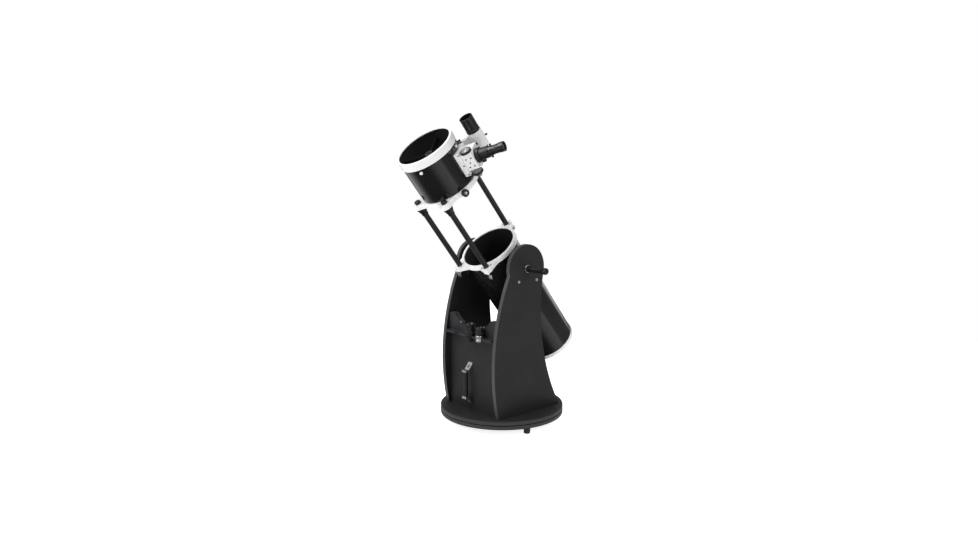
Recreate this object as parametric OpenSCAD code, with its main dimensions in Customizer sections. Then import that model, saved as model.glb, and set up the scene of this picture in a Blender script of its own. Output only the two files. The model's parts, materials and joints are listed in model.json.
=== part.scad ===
// Truss-rod dobsonian telescope: a collapsible Newtonian tube in a rocker box.
// Millimetres. +Z is up, -Y is the front that the tube leans towards, and the
// origin is on the floor at the azimuth axis.

/* [Tube] */
// Outer diameter of both tube sections
tube_d = 235; // [225:1:240]
// Wall thickness of both tube sections
tube_wall = 1.5; // [1:0.25:2]
// Distance from the altitude axis to the front rim of the tube
front_reach = 628; // [610:1:650]
// Distance from the altitude axis to the rear rim of the tube
rear_reach = 481; // [470:1:500]
// Height of the lower truss ring above the altitude axis
lower_ring_z = 84; // [80:1:90]
// Height of the upper truss ring above the altitude axis, rods drawn out
upper_ring_z = 420; // [415:1:430]
// Altitude of the tube above the horizon, as the object stands
altitude = 51.6; // [45:0.1:60]

/* [Truss] */
// Diameter of each truss rod
rod_d = 22; // [20:1:24]
// Radius of the circle that the rod axes stand on
rod_circle_r = 141; // [140:1:144]
// Angle of each belly rod from the middle of the belly
belly_rod_angle = 34; // [30:1:36]
// Angle that the whole truss is turned by around the tube
truss_turn = 4.5; // [0:0.5:6]
// Thickness of each truss ring
ring_t = 20; // [18:1:24]
// Outer radius of each truss ring
ring_r = 125; // [124:1:127]

/* [Rocker box] */
// Height of the altitude axis above the floor
axis_z = 665; // [655:1:680]
// Distance from one side panel's outer face to the other's
box_w = 342; // [338:1:350]
// Thickness of the side panels
panel_t = 18; // [16:1:18]
// Radius of the rounded panel tops
panel_top_r = 97; // [92:1:98]
// Height of the front board's two shoulders above the floor
front_board_z = 458; // [440:1:465]

/* [Base] */
// Radius of the two round base boards
base_r = 265; // [260:1:290]
// Thickness of each base board
board_t = 16; // [15:1:18]
// Height of the rubber feet
foot_h = 24; // [20:1:30]
// Angle of the first foot around the base, from the right-hand side
foot_phi = -17; // [-60:1:0]

/* [Focuser and finder] */
// Angle of the focuser around the tube, from the right-hand side
focuser_phi = 28; // [26:1:30]
// Diameter of the focuser's drawtube
drawtube_d = 46; // [44:1:46]
// Angle of the finder around the tube, from the right-hand side
finder_phi = 57; // [57:1:60]
// Distance of the finder's axis from the tube's axis
finder_reach = 192; // [190:1:196]

/* [Hidden] */
$fn = 96;

// Overshoot that carries a cut clear of a face
cut = 1;
// Radial clearance of a turning or sliding fit
run = 0.05;
// Gap between faces of parts that move past each other
gap = 0.3;

// Tube and optics, along the tube's own axis from the altitude axis
tube_r = tube_d / 2;
bore_r = tube_r - tube_wall;
axis_y = -12;
front_ring_w = 33;
rear_ring_w = 18;
rim_r = tube_r + 2.5;
rim_lip = 4;
light_r = 111;
ring_lip = 4;
mirror_r = 101.5;
mirror_t = 25;
backplate_z = -rear_reach + 11;
backplate_t = 6;
cell_z = backplate_z + 18;
cell_t = 8;
collimation_r = 75;
focus_z = 516;
spider_z = 581;

// Truss
rod_r = rod_d / 2;
rod_angles = [
    truss_turn - 90 - belly_rod_angle,
    truss_turn - 90 + belly_rod_angle,
    truss_turn + 90
];
lobe_r = 22;
bushing_r = 12.5;
ring_bore_r = tube_r - 2.5;
clamp_screw_r = 2.5;
clamp_r = rod_circle_r + lobe_r;
clamp_boss_r = 6;
rod_bottom = lower_ring_z - 10;
rod_top = upper_ring_z + ring_t - 6;
socket_h = 36;
ring_knob_phi = -15;

// Base and rocker box
foot_circle_r = base_r - 18;
pad_circle_r = base_r - 40;
pad_t = 2.2;
turntable_z = foot_h + board_t + pad_t + gap;
floor_z = turntable_z + board_t;
panel_out = box_w / 2;
panel_in = panel_out - panel_t;
panel_top_y = axis_y - 4;
panel_top_z = axis_z + 3;
front_arc_r = 930;
front_arc_y = -191 + front_arc_r;
front_arc_z = 261;
rear_arc_r = 880;
rear_arc_z = 493;
front_board_y = -158;
front_board_t = 16;
front_dip = 52;
front_dip_w = 115;
bolt_r = 6;

// Vertical screws that hold the two panels and the front board on the turntable
board_screw_places = [
    for (side = [-1, 1])
        for (y = [-110, 0, 110])
            [side * (panel_out - panel_t / 2), y],
    for (side = [-1, 1])
        [side * 90, front_board_y + front_board_t / 2]
];

// Angle of the straight stretch between the panel's front arc and its round top
arc_dy = front_arc_y - panel_top_y;
arc_dz = panel_top_z - front_arc_z;
arc_gap = sqrt(arc_dy * arc_dy + arc_dz * arc_dz);
lean = atan2(arc_dz, arc_dy) - acos((front_arc_r - panel_top_r) / arc_gap);

// The panel's hollow rear arc runs on from its round top without a corner
rear_gap = rear_arc_r + panel_top_r;
rear_dz = panel_top_z - rear_arc_z;
rear_arc_y = panel_top_y + sqrt(rear_gap * rear_gap - rear_dz * rear_dz);
rear_blend = asin(rear_dz / rear_gap);

// Altitude bearing and its pegs
peg_offset = 50;
peg_r = 11;
peg_l = 18;
bearing_r = peg_offset * sqrt(2) - peg_r - gap;
bearing_out = panel_in - 3;
handle_shaft_r = 6;
handle_l = 108;

// Eyepiece rack on the front board
rack_z = 380;
rack_t = 6;
rack_depth = 28;
rack_w = 296;
rack_rim = 3;
rack_rim_h = 8;
rack_plate_t = 6;
rack_plate_z = 366;
rack_face_y = front_board_y - rack_plate_t;
rack_hole_y = front_board_y - 29;
rack_hole_r = 16.05;
rack_holes = [-65, 10, 72];
stored_shoulder_h = 10;
stored_shoulder_r = 16.6;
barrel_r = 15.85;
barrel_l = 26;

// Carrying handle on the front board
handle_x = -20;
handle_low = 118;
handle_high = 222;
handle_y = front_board_y - 27;
handle_r = 9.5;
handle_leg_w = 26;

// Focuser, outwards from the tube's axis
drawtube_r = drawtube_d / 2;
saddle_l = 102;
saddle_w = 80;
saddle_top = 132;
housing_top = 178;
housing_front = -38;
housing_rear = 43;
housing_w = 72;
hub_front = 34;
hub_r = 13;
hub_step_w = 28;
hub_step_z = 134;
collar_r = 29;
collar_top = 194;
drawtube_in = 150;
drawtube_out = 228;
adapter_turn = 54;
shaft_r = 4;
shaft_reach = 159;
shaft_front = -50;
shaft_rear = 70;
knob_t = 10;
rear_knob_x = 47;
shaft_side = -(drawtube_r + shaft_r + 0.1);
knob_r = 22;
lock_knob_x = 36;
lock_knob_y = 15;

// Finder, along the tube's axis
finder_front = 638;
finder_shade = 574;
finder_ring_z = 504;
finder_rear = 458;
finder_body_r = 24;
shade_r = 27;
finder_ring_r = 29;
shoe_z = 543;
shoe_l = 50;

// Places children in the tube's frame: x to the right, y to the tube's back, z to the sky
module on_tube() {
    translate([0, axis_y, axis_z])
        rotate([90 - altitude, 0, 0])
            children();
}

// Places children at an angle and radius around the tube's axis
module around(phi, r, z = 0) {
    rotate([0, 0, phi])
        translate([r, 0, z])
            children();
}

// Places children on the focuser's axis: z outwards, x to the tube's rear
module on_focuser() {
    on_tube()
        translate([0, 0, focus_z])
            rotate([0, 0, focuser_phi])
                rotate([0, 90, 0])
                    children();
}

// Places children on the finder's axis
module on_finder() {
    on_tube()
        around(finder_phi, finder_reach)
            children();
}

// A hollow cylinder between two heights
module sleeve(outer, inner, low, high) {
    difference() {
        translate([0, 0, low])
            cylinder(r = outer, h = high - low);
        translate([0, 0, low - cut])
            cylinder(r = inner, h = high - low + 2 * cut);
    }
}

// A cylinder along X between two distances from the middle plane
module rod_x(r, low, high) {
    translate([low, 0, 0])
        rotate([0, 90, 0])
            cylinder(r = r, h = high - low);
}

// A solid knob with grip flutes, standing on z = 0
module fluted_knob(r, h, flutes, flute_r) {
    difference() {
        union() {
            cylinder(r = r, h = h - 1.5);
            translate([0, 0, h - 1.5])
                cylinder(r1 = r, r2 = r - 1.5, h = 1.5);
        }
        for (i = [0 : flutes - 1])
            around(i * 360 / flutes, r + flute_r * 0.55, -cut)
                cylinder(r = flute_r, h = h + 2 * cut);
    }
}

// ---- Base ----

module ground_board() {
    color("#1c1b1b")
        difference() {
            translate([0, 0, foot_h])
                cylinder(r = base_r, h = board_t, $fn = 180);
            translate([0, 0, foot_h - cut])
                cylinder(r = bolt_r, h = board_t + 2 * cut);
        }
}

module feet() {
    color("#121212")
        for (i = [0 : 2])
            around(foot_phi + i * 120, foot_circle_r)
                cylinder(r1 = 13, r2 = 14.5, h = foot_h);
}

module glide_pads() {
    color("#e9e7e0")
        for (i = [0 : 2])
            around(foot_phi + i * 120, pad_circle_r, foot_h + board_t)
                cylinder(r = 14, h = pad_t);
}

module azimuth_bolt() {
    color("#a9abad")
        union() {
            translate([0, 0, foot_h - 7])
                cylinder(r = 11, h = 7, $fn = 6);
            translate([0, 0, foot_h - 1])
                cylinder(r = bolt_r, h = floor_z - foot_h + 16);
        }
}

module azimuth_nut() {
    color("#a9abad")
        difference() {
            union() {
                translate([0, 0, floor_z + gap])
                    cylinder(r = 17, h = 1.8);
                translate([0, 0, floor_z + gap + 1.8])
                    cylinder(r = 11, h = 9, $fn = 6);
            }
            translate([0, 0, floor_z])
                cylinder(r = bolt_r, h = 20);
        }
}

// ---- Rocker box ----

module turntable_board() {
    color("#1c1b1b")
        difference() {
            translate([0, 0, turntable_z])
                cylinder(r = base_r, h = board_t, $fn = 180);
            translate([0, 0, turntable_z - cut])
                cylinder(r = bolt_r + run, h = board_t + 2 * cut);
            for (p = board_screw_places)
                translate([p[0], p[1], turntable_z - cut])
                    cylinder(r = 3, h = board_t + 2 * cut);
            for (p = board_screw_places)
                translate([p[0], p[1], turntable_z - cut])
                    cylinder(r = 6, h = 6 + cut);
        }
}

module board_screws() {
    color("#8f9193")
        for (p = board_screw_places)
            translate([p[0], p[1], turntable_z + 1])
                union() {
                    cylinder(r = 5.5, h = 5);
                    cylinder(r = 3, h = board_t + 24);
                }
}

// Outline of a side panel, with x as the depth axis and y as the height
module panel_outline() {
    blend_z = panel_top_z - panel_top_r * sin(rear_blend);
    rear_y = panel_top_y + panel_top_r * cos(rear_blend);
    lean_z = front_arc_z + front_arc_r * sin(lean);
    front_y = front_arc_y - front_arc_r;
    union() {
        translate([panel_top_y, panel_top_z])
            circle(r = panel_top_r, $fn = 240);
        difference() {
            intersection() {
                translate([front_arc_y, front_arc_z])
                    circle(r = front_arc_r, $fn = 720);
                polygon([
                    [front_y - 40, floor_z],
                    [rear_y + 120, floor_z],
                    [rear_y + 120, blend_z],
                    [rear_y, blend_z],
                    [panel_top_y, panel_top_z],
                    [panel_top_y - panel_top_r * cos(lean), panel_top_z + panel_top_r * sin(lean)],
                    [front_arc_y - front_arc_r * cos(lean), lean_z],
                    [front_y - 40, lean_z]
                ]);
            }
            translate([rear_arc_y, rear_arc_z])
                circle(r = rear_arc_r, $fn = 720);
        }
    }
}

// The right-hand panel; the left-hand one is its mirror image
module side_panel() {
    difference() {
        translate([panel_in, 0, 0])
            rotate([90, 0, 90])
                linear_extrude(height = panel_t)
                    panel_outline();
        translate([0, axis_y, axis_z])
            rod_x(handle_shaft_r + 2, panel_in - cut, panel_out + cut);
        for (side = [-1, 1])
            translate([0, axis_y + side * peg_offset, axis_z - peg_offset])
                rod_x(2.5, panel_in - cut, panel_out + cut);
        for (y = [-110, 0, 110])
            translate([panel_out - panel_t / 2, y, floor_z - cut])
                cylinder(r = 3, h = 24 + 2 * cut);
    }
}

module right_side_panel() {
    color("#2a2929") side_panel();
}

module left_side_panel() {
    color("#2a2929")
        mirror([1, 0, 0]) side_panel();
}

// The round dip in the top edge of the front board and of the rack in front of it
module board_dip(y, depth) {
    dip_r = (front_dip_w * front_dip_w + front_dip * front_dip) / (2 * front_dip);
    translate([0, y - cut, front_board_z - front_dip + dip_r])
        rotate([-90, 0, 0])
            cylinder(r = dip_r, h = depth + 2 * cut, $fn = 240);
}

module front_board() {
    color("#2e2d2d")
        difference() {
            translate([-panel_in, front_board_y, floor_z])
                cube([2 * panel_in, front_board_t, front_board_z - floor_z]);
            board_dip(front_board_y, front_board_t);
            for (side = [-1, 1])
                translate([side * 90, front_board_y + front_board_t / 2, floor_z - cut])
                    cylinder(r = 3, h = 24 + 2 * cut);
        }
}

module altitude_pegs() {
    color("#222223")
        for (face = [-1, 1], side = [-1, 1])
            translate([0, axis_y + side * peg_offset, axis_z - peg_offset])
                scale([face, 1, 1])
                    difference() {
                        rod_x(peg_r, panel_in - peg_l, panel_in);
                        rod_x(2.5, panel_in - peg_l + 4, panel_in + cut);
                    }
}

module peg_screws() {
    color("#b9babc")
        for (face = [-1, 1], side = [-1, 1])
            translate([0, axis_y + side * peg_offset, axis_z - peg_offset])
                scale([face, 1, 1])
                    union() {
                        rod_x(2.5, panel_in - peg_l + 4, panel_out + 1);
                        difference() {
                            rod_x(6, panel_out, panel_out + 3);
                            rod_x(2.6, panel_out + 1.5, panel_out + 4, $fn = 6);
                        }
                    }
}

// A back plate cut to the front board's dip, and a rimmed shelf with three eyepiece holes
module eyepiece_rack() {
    color("#3b3a3b")
        difference() {
            union() {
                difference() {
                    translate([-panel_in + gap, rack_face_y, rack_plate_z])
                        cube([2 * (panel_in - gap), rack_plate_t, front_board_z - rack_plate_z]);
                    board_dip(rack_face_y, rack_plate_t);
                }
                translate([-rack_w / 2, rack_face_y - rack_depth, rack_z])
                    cube([rack_w, rack_depth + 1, rack_t]);
                translate([-rack_w / 2, rack_face_y - rack_depth, rack_z + rack_t - rack_rim_h])
                    cube([rack_w, rack_rim, rack_rim_h]);
                for (x = [-rack_w / 2, rack_w / 2 - rack_rim])
                    translate([x, rack_face_y - rack_depth, rack_z + rack_t - rack_rim_h])
                        cube([rack_rim, rack_depth + 1, rack_rim_h]);
            }
            for (x = rack_holes)
                translate([x, rack_hole_y, rack_z + rack_t - rack_rim_h - cut])
                    cylinder(r = rack_hole_r, h = rack_rim_h + 2 * cut);
        }
}

// Eyepiece standing on z = 0 at its shoulder, with its barrel below
module eyepiece(body_h, body_r, cup_r) {
    difference() {
        union() {
            translate([0, 0, -barrel_l])
                cylinder(r = barrel_r, h = barrel_l + cut);
            cylinder(r = body_r, h = body_h * 0.45);
            translate([0, 0, body_h * 0.45])
                cylinder(r1 = body_r, r2 = cup_r, h = body_h * 0.2);
            translate([0, 0, body_h * 0.65])
                cylinder(r = cup_r, h = body_h * 0.35);
        }
        translate([0, 0, body_h - 4])
            cylinder(r = cup_r - 5, h = 4 + cut);
        translate([0, 0, -barrel_l - cut])
            cylinder(r = barrel_r - 2, h = 12 + cut);
    }
}

module stored_eyepieces() {
    color("#1a1a1b")
        union() {
            translate([rack_holes[1], rack_hole_y, rack_z + rack_t])
                eyepiece(50, 22.5, 22.5);
            translate([rack_holes[2], rack_hole_y, rack_z + rack_t + stored_shoulder_h])
                eyepiece(34, 17, 16.5);
            translate([rack_holes[2], rack_hole_y, rack_z + rack_t])
                cylinder(r = stored_shoulder_r, h = stored_shoulder_h + cut);
        }
}

module handle_grip() {
    color("#2b2b2c")
        translate([handle_x, handle_y, handle_low])
            difference() {
                cylinder(r = handle_r, h = handle_high - handle_low);
                for (z = [0, handle_high - handle_low])
                    translate([0, 0, z])
                        cylinder(r = 4, h = 24, center = true);
            }
}

// One leg of the handle from its cap at z = 0 up to its foot on the board, with a window
module handle_leg() {
    leg_y = -handle_y + front_board_y;
    difference() {
        rotate([90, 0, 90])
            linear_extrude(height = handle_leg_w, center = true)
                polygon([
                    [-handle_r, 0], [handle_r, 0], [leg_y, 22],
                    [leg_y, 38], [handle_r - 4, 10], [-handle_r, 10]
                ]);
        translate([-5, leg_y - 15, -20])
            cube([10, 10, 80]);
    }
    translate([0, 0, -12])
        cylinder(r = 4, h = 13);
}

// Two sloping legs that hold the grip off the front board
module handle_brackets() {
    color("#d5d6d8")
        translate([handle_x, handle_y, 0])
            union() {
                translate([0, 0, handle_high])
                    handle_leg();
                translate([0, 0, handle_low])
                    mirror([0, 0, 1])
                        handle_leg();
            }
}

// ---- Lower tube and mirror ----

module lower_tube() {
    color("#161617")
        on_tube()
            difference() {
                sleeve(tube_r, bore_r, -rear_reach + rim_lip, lower_ring_z + ring_t - ring_lip);
                for (end = [-1, 1])
                    translate([0, 0, end * 35])
                        rod_x(2.5, -tube_r - cut, tube_r + cut);
            }
}

module rear_ring() {
    color("#e8e8e6")
        on_tube()
            translate([0, 0, -rear_reach])
                difference() {
                    union() {
                        cylinder(r1 = rim_r - 2, r2 = rim_r, h = 2, $fn = 180);
                        translate([0, 0, 2])
                            cylinder(r = rim_r, h = rear_ring_w - 2, $fn = 180);
                    }
                    translate([0, 0, -cut])
                        cylinder(r = light_r, h = rim_lip + 2 * cut, $fn = 180);
                    translate([0, 0, rim_lip])
                        cylinder(r = tube_r, h = rear_ring_w, $fn = 180);
                }
}

// Three arms from the tube's wall to a central boss, which carry the mirror cell
module mirror_backplate() {
    color("#b9babb")
        on_tube()
            difference() {
                union() {
                    translate([0, 0, backplate_z])
                        cylinder(r = 46, h = backplate_t);
                    for (i = [0 : 2])
                        around(90 + i * 120, 0, backplate_z)
                            translate([0, -15, 0])
                                cube([bore_r - 1, 30, backplate_t]);
                    for (i = [0 : 2])
                        around(30 + i * 120, 0, backplate_z)
                            translate([0, -10, 0])
                                cube([collimation_r + 12, 20, backplate_t]);
                }
                for (i = [0 : 5])
                    around(30 + i * 60, collimation_r, backplate_z - cut)
                        cylinder(r = (i % 2 == 1) ? 3 + run : 2.5, h = backplate_t + 2 * cut);
                translate([0, 0, backplate_z - cut])
                    cylinder(r = 22, h = backplate_t + 2 * cut);
            }
}

// The plate behind the mirror, drilled for air and for the collimation screws
module mirror_cell() {
    color("#9d9ea0")
        on_tube()
            difference() {
                translate([0, 0, cell_z])
                    cylinder(r = 104, h = cell_t);
                for (i = [0 : 2])
                    around(90 + i * 120, collimation_r, cell_z - cut)
                        cylinder(r = 3 + run, h = cell_t + 2 * cut);
                for (i = [0 : 2])
                    around(30 + i * 120, 36, cell_z - cut)
                        cylinder(r = 20, h = cell_t + 2 * cut);
            }
}

// Each spring is a sleeve with round coils standing proud of it
module collimation_springs() {
    spring_h = cell_z - backplate_z - backplate_t;
    coils = 4;
    color("#8d8f92")
        on_tube()
            for (i = [0 : 2])
                around(90 + i * 120, collimation_r, backplate_z + backplate_t)
                    rotate_extrude($fn = 48)
                        union() {
                            translate([5, 0])
                                square([1, spring_h]);
                            for (k = [0 : coils - 1])
                                translate([6, (k + 0.5) * spring_h / coils])
                                    circle(r = 1.2, $fn = 24);
                        }
}

module primary_mirror() {
    color("#cfd8de")
        on_tube()
            difference() {
                translate([0, 0, cell_z + cell_t])
                    cylinder(r = mirror_r, h = mirror_t, $fn = 180);
                translate([0, 0, cell_z + cell_t + mirror_t + 2398])
                    sphere(r = 2400, $fn = 720);
            }
}

module mirror_clips() {
    color("#2a2a2b")
        on_tube()
            for (i = [0 : 2])
                around(30 + i * 120, 0, cell_z + cell_t)
                    difference() {
                        translate([mirror_r - 6, -7, 0])
                            cube([11, 14, mirror_t + 3]);
                        translate([0, 0, -cut])
                            cylinder(r = mirror_r, h = mirror_t + cut, $fn = 180);
                    }
}

module cell_lock_screws() {
    color("#9a9c9e")
        on_tube()
            for (i = [0 : 2])
                around(30 + i * 120, collimation_r, 0)
                    union() {
                        translate([0, 0, backplate_z - 10])
                            fluted_knob(6, 10, 8, 1.2);
                        translate([0, 0, backplate_z - 1])
                            cylinder(r = 2.5, h = cell_z - backplate_z + 1);
                    }
}

// Collimation knob number i, whose screw ends in the mirror cell
module collimation_knob(i) {
    color("#1d1d1e")
        on_tube()
            around(90 + i * 120, collimation_r, 0)
                union() {
                    translate([0, 0, backplate_z - gap - 16])
                        fluted_knob(13, 16, 10, 2.5);
                    translate([0, 0, backplate_z - 2])
                        cylinder(r = 3, h = cell_z + cell_t - 1 - backplate_z + 2);
                }
}

module collimation_knob_a() { collimation_knob(0); }

module collimation_knob_b() { collimation_knob(1); }

module collimation_knob_c() { collimation_knob(2); }

// Flat outline of a truss ring: a disc with a lobe and a clamp boss at each rod
module ring_outline(boss) {
    union() {
        circle(r = ring_r, $fn = 180);
        for (phi = rod_angles)
            rotate([0, 0, phi])
                union() {
                    translate([rod_circle_r, 0])
                        circle(r = lobe_r);
                    polygon([
                        [ring_r - 22, -52], [rod_circle_r + 4, -lobe_r + 0.5],
                        [rod_circle_r + 4, lobe_r - 0.5], [ring_r - 22, 52]
                    ]);
                    if (boss)
                        translate([clamp_r, 0])
                            circle(r = clamp_boss_r);
                }
    }
}

module lower_truss_ring() {
    color("#ecece9")
        on_tube()
            translate([0, 0, lower_ring_z])
                difference() {
                    linear_extrude(height = ring_t)
                        ring_outline(true);
                    translate([0, 0, -cut])
                        cylinder(r = tube_r, h = ring_t - ring_lip + cut, $fn = 180);
                    cylinder(r = ring_bore_r, h = ring_t + cut, $fn = 180);
                    for (phi = rod_angles)
                        around(phi, rod_circle_r, -cut)
                            cylinder(r = bushing_r, h = ring_t + 2 * cut);
                    for (phi = rod_angles)
                        around(phi, clamp_r, -cut)
                            cylinder(r = clamp_screw_r + run, h = 14 + cut);
                }
}

module rod_bushings() {
    color("#1b1b1c")
        on_tube()
            for (phi = rod_angles)
                around(phi, rod_circle_r, lower_ring_z)
                    difference() {
                        cylinder(r = bushing_r, h = ring_t + 1);
                        translate([0, 0, -cut])
                            cylinder(r = rod_r + run, h = ring_t + 5);
                    }
}

// Thumbscrew under one lobe of the lower truss ring, which clamps its rod
module rod_clamp(phi) {
    color("#d0d2d4")
        on_tube()
            around(phi, clamp_r, lower_ring_z)
                union() {
                    translate([0, 0, -14])
                        cylinder(r = clamp_screw_r, h = 27);
                    translate([0, 0, -8])
                        cylinder(r = 5, h = 8 - gap);
                    translate([0, 0, -24])
                        fluted_knob(8, 11, 14, 1.1);
                    translate([0, 0, -30])
                        cylinder(r = 4, h = 7);
                }
}

module rod_clamp_left() { rod_clamp(rod_angles[0]); }

module rod_clamp_right() { rod_clamp(rod_angles[1]); }

module rod_clamp_top() { rod_clamp(rod_angles[2]); }

// One round trunnion on each side of the tube, with a saddle back
module altitude_bearings() {
    color("#202021")
        on_tube()
            for (face = [-1, 1])
                scale([face, 1, 1])
                    difference() {
                        union() {
                            rod_x(bearing_r, tube_r - 22, bearing_out - 2);
                            rod_x(bearing_r - 5, bearing_out - 3, bearing_out);
                        }
                        cylinder(r = tube_r, h = 200, center = true);
                        rod_x(handle_shaft_r + run, tube_r + 6, bearing_out + cut);
                        for (end = [-1, 1])
                            translate([0, 0, end * 35])
                                union() {
                                    rod_x(2.5, 0, bearing_out + cut);
                                    rod_x(5.5, bearing_out - 6, bearing_out + cut);
                                }
                    }
}

module bearing_screws() {
    color("#8f9193")
        on_tube()
            for (face = [-1, 1], end = [-1, 1])
                scale([face, 1, 1])
                    translate([0, 0, end * 35])
                        difference() {
                            union() {
                                rod_x(2.5, tube_r - 12, bearing_out - 5);
                                rod_x(5, bearing_out - 6, bearing_out - 1);
                            }
                            rod_x(2.6, bearing_out - 3, bearing_out, $fn = 6);
                        }
}

// Turned grip with a flared end, whose shaft screws into the trunnion
module tension_handle() {
    union() {
        rod_x(handle_shaft_r, tube_r + 9, panel_out + 4);
        translate([panel_out + gap, 0, 0])
            rotate([0, 90, 0])
                rotate_extrude()
                    polygon([
                        [0, 0], [20, 0], [20, 2], [14.5, 2], [14.5, 7], [10, 14], [9.5, 30],
                        [9.5, 62], [11, 88], [13, 102], [12.5, handle_l - 2], [9, handle_l], [0, handle_l]
                    ]);
    }
}

module right_tension_handle() {
    color("#1d1d1e")
        on_tube() tension_handle();
}

module left_tension_handle() {
    color("#1d1d1e")
        on_tube() mirror([1, 0, 0]) tension_handle();
}

// ---- Truss rods and upper cage ----

module truss_rods() {
    color("#1a1a1b")
        on_tube()
            for (phi = rod_angles)
                around(phi, rod_circle_r, 0)
                    difference() {
                        union() {
                            translate([0, 0, rod_bottom])
                                cylinder(r = rod_r, h = rod_top - rod_bottom);
                            translate([0, 0, rod_bottom])
                                cylinder(r = rod_r + 2, h = 7);
                        }
                        translate([0, 0, rod_bottom - cut])
                            cylinder(r = rod_r - 2, h = rod_top - rod_bottom - 24);
                        translate([0, 0, rod_top - 18])
                            cylinder(r = 4, h = 18 + cut);
                    }
}

module rod_sockets() {
    color("#1e1e1f")
        on_tube()
            for (phi = rod_angles)
                around(phi, rod_circle_r, upper_ring_z)
                    difference() {
                        union() {
                            translate([0, 0, -6])
                                cylinder(r = 20, h = 6);
                            translate([0, 0, -socket_h + 8])
                                cylinder(r1 = 13.5, r2 = 20, h = socket_h - 14);
                            translate([0, 0, -socket_h])
                                cylinder(r = 13.5, h = 8);
                        }
                        translate([0, 0, -socket_h - cut])
                            cylinder(r = rod_r, h = socket_h + 2 * cut);
                    }
}

module rod_knobs() {
    color("#1d1d1e")
        on_tube()
            for (phi = rod_angles)
                around(phi, rod_circle_r, upper_ring_z + ring_t)
                    union() {
                        fluted_knob(12.5, 11, 12, 1.6);
                        translate([0, 0, -20])
                            cylinder(r = 4, h = 21);
                    }
}

module upper_truss_ring() {
    color("#ecece9")
        on_tube()
            translate([0, 0, upper_ring_z])
                difference() {
                    linear_extrude(height = ring_t)
                        ring_outline(false);
                    translate([0, 0, ring_lip])
                        cylinder(r = tube_r, h = ring_t, $fn = 180);
                    translate([0, 0, -cut])
                        cylinder(r = tube_r - 4.7, h = ring_t, $fn = 180);
                    for (phi = rod_angles)
                        around(phi, rod_circle_r, -cut)
                            cylinder(r = rod_r, h = rod_top - upper_ring_z + cut);
                    for (phi = rod_angles)
                        around(phi, rod_circle_r, 0)
                            cylinder(r = 4, h = ring_t + cut);
                    translate([0, 0, ring_t / 2])
                        rotate([0, 0, ring_knob_phi])
                            rod_x(4 + run, tube_r - 1, ring_r + 20);
                }
}

module ring_knob() {
    color("#1d1d1e")
        on_tube()
            translate([0, 0, upper_ring_z + ring_t / 2])
                rotate([0, 0, ring_knob_phi])
                    rotate([0, 90, 0])
                        union() {
                            translate([0, 0, tube_r + gap])
                                cylinder(r = 4, h = 20);
                            translate([0, 0, ring_r + 7])
                                fluted_knob(15, 13, 12, 2);
                        }
}

module upper_tube() {
    color("#161617")
        on_tube()
            difference() {
                sleeve(tube_r, bore_r, upper_ring_z + ring_lip, front_reach - rim_lip);
                translate([0, 0, focus_z])
                    rotate([0, 0, focuser_phi])
                        rod_x(drawtube_r + 3, tube_r - 30, tube_r + 20);
                for (i = [0 : 3])
                    translate([0, 0, spider_z])
                        rotate([0, 0, focuser_phi + i * 90])
                            rod_x(2, tube_r - 10, tube_r + 10);
            }
}

module front_ring() {
    color("#e8e8e6")
        on_tube()
            translate([0, 0, front_reach - front_ring_w])
                difference() {
                    union() {
                        cylinder(r = rim_r, h = front_ring_w - 2, $fn = 180);
                        translate([0, 0, front_ring_w - 2])
                            cylinder(r1 = rim_r, r2 = rim_r - 2, h = 2, $fn = 180);
                    }
                    translate([0, 0, -cut])
                        cylinder(r = tube_r, h = front_ring_w - rim_lip + cut, $fn = 180);
                    cylinder(r = light_r, h = front_ring_w + cut, $fn = 180);
                }
}

// Hub on the tube's axis with four thin vanes out to the tube's wall
module spider() {
    color("#1a1a1b")
        on_tube()
            difference() {
                union() {
                    translate([0, 0, spider_z - 14])
                        cylinder(r = 16, h = 26);
                    for (i = [0 : 3])
                        around(focuser_phi + i * 90, 0, spider_z)
                            union() {
                                translate([14, -0.6, -10])
                                    cube([bore_r - 14.5, 1.2, 20]);
                                translate([bore_r - 9, -5, -6])
                                    cube([8.5, 10, 12]);
                            }
                }
                translate([0, 0, spider_z - 20])
                    cylinder(r = 3, h = 50);
                for (i = [0 : 3])
                    translate([0, 0, spider_z])
                        rotate([0, 0, focuser_phi + i * 90])
                            rod_x(2, bore_r - 8, bore_r + 2);
            }
}

module spider_screws() {
    color("#d6d8da")
        on_tube()
            union() {
                for (i = [0 : 3])
                    translate([0, 0, spider_z])
                        rotate([0, 0, focuser_phi + i * 90])
                            union() {
                                rod_x(2, bore_r - 8, tube_r + 2);
                                rod_x(6, tube_r + 0.2, tube_r + 5);
                            }
                translate([0, 0, spider_z - 30])
                    cylinder(r = 3, h = 43);
                translate([0, 0, spider_z + 12])
                    cylinder(r = 5, h = 4);
            }
}

// Stalk behind the diagonal mirror, cut off parallel to it
module secondary_holder() {
    color("#1c1c1d")
        on_tube()
            difference() {
                translate([0, 0, focus_z - 24])
                    cylinder(r = 22, h = spider_z - 14 - gap - focus_z + 24);
                translate([0, 0, focus_z])
                    rotate([0, 0, focuser_phi])
                        rotate([0, 135, 0])
                            translate([-80, -80, -8])
                                cube([160, 160, 160]);
                translate([0, 0, spider_z - 30])
                    cylinder(r = 3, h = 40);
            }
}

// Elliptical flat at 45 degrees, which sends the light out to the focuser
module secondary_mirror() {
    color("#cfd8de")
        on_tube()
            intersection() {
                translate([0, 0, focus_z - 60])
                    cylinder(r = 25, h = 120);
                translate([0, 0, focus_z])
                    rotate([0, 0, focuser_phi])
                        rotate([0, 135, 0])
                            translate([-60, -60, -8])
                                cube([120, 120, 8]);
            }
}

// ---- Focuser ----

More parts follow.
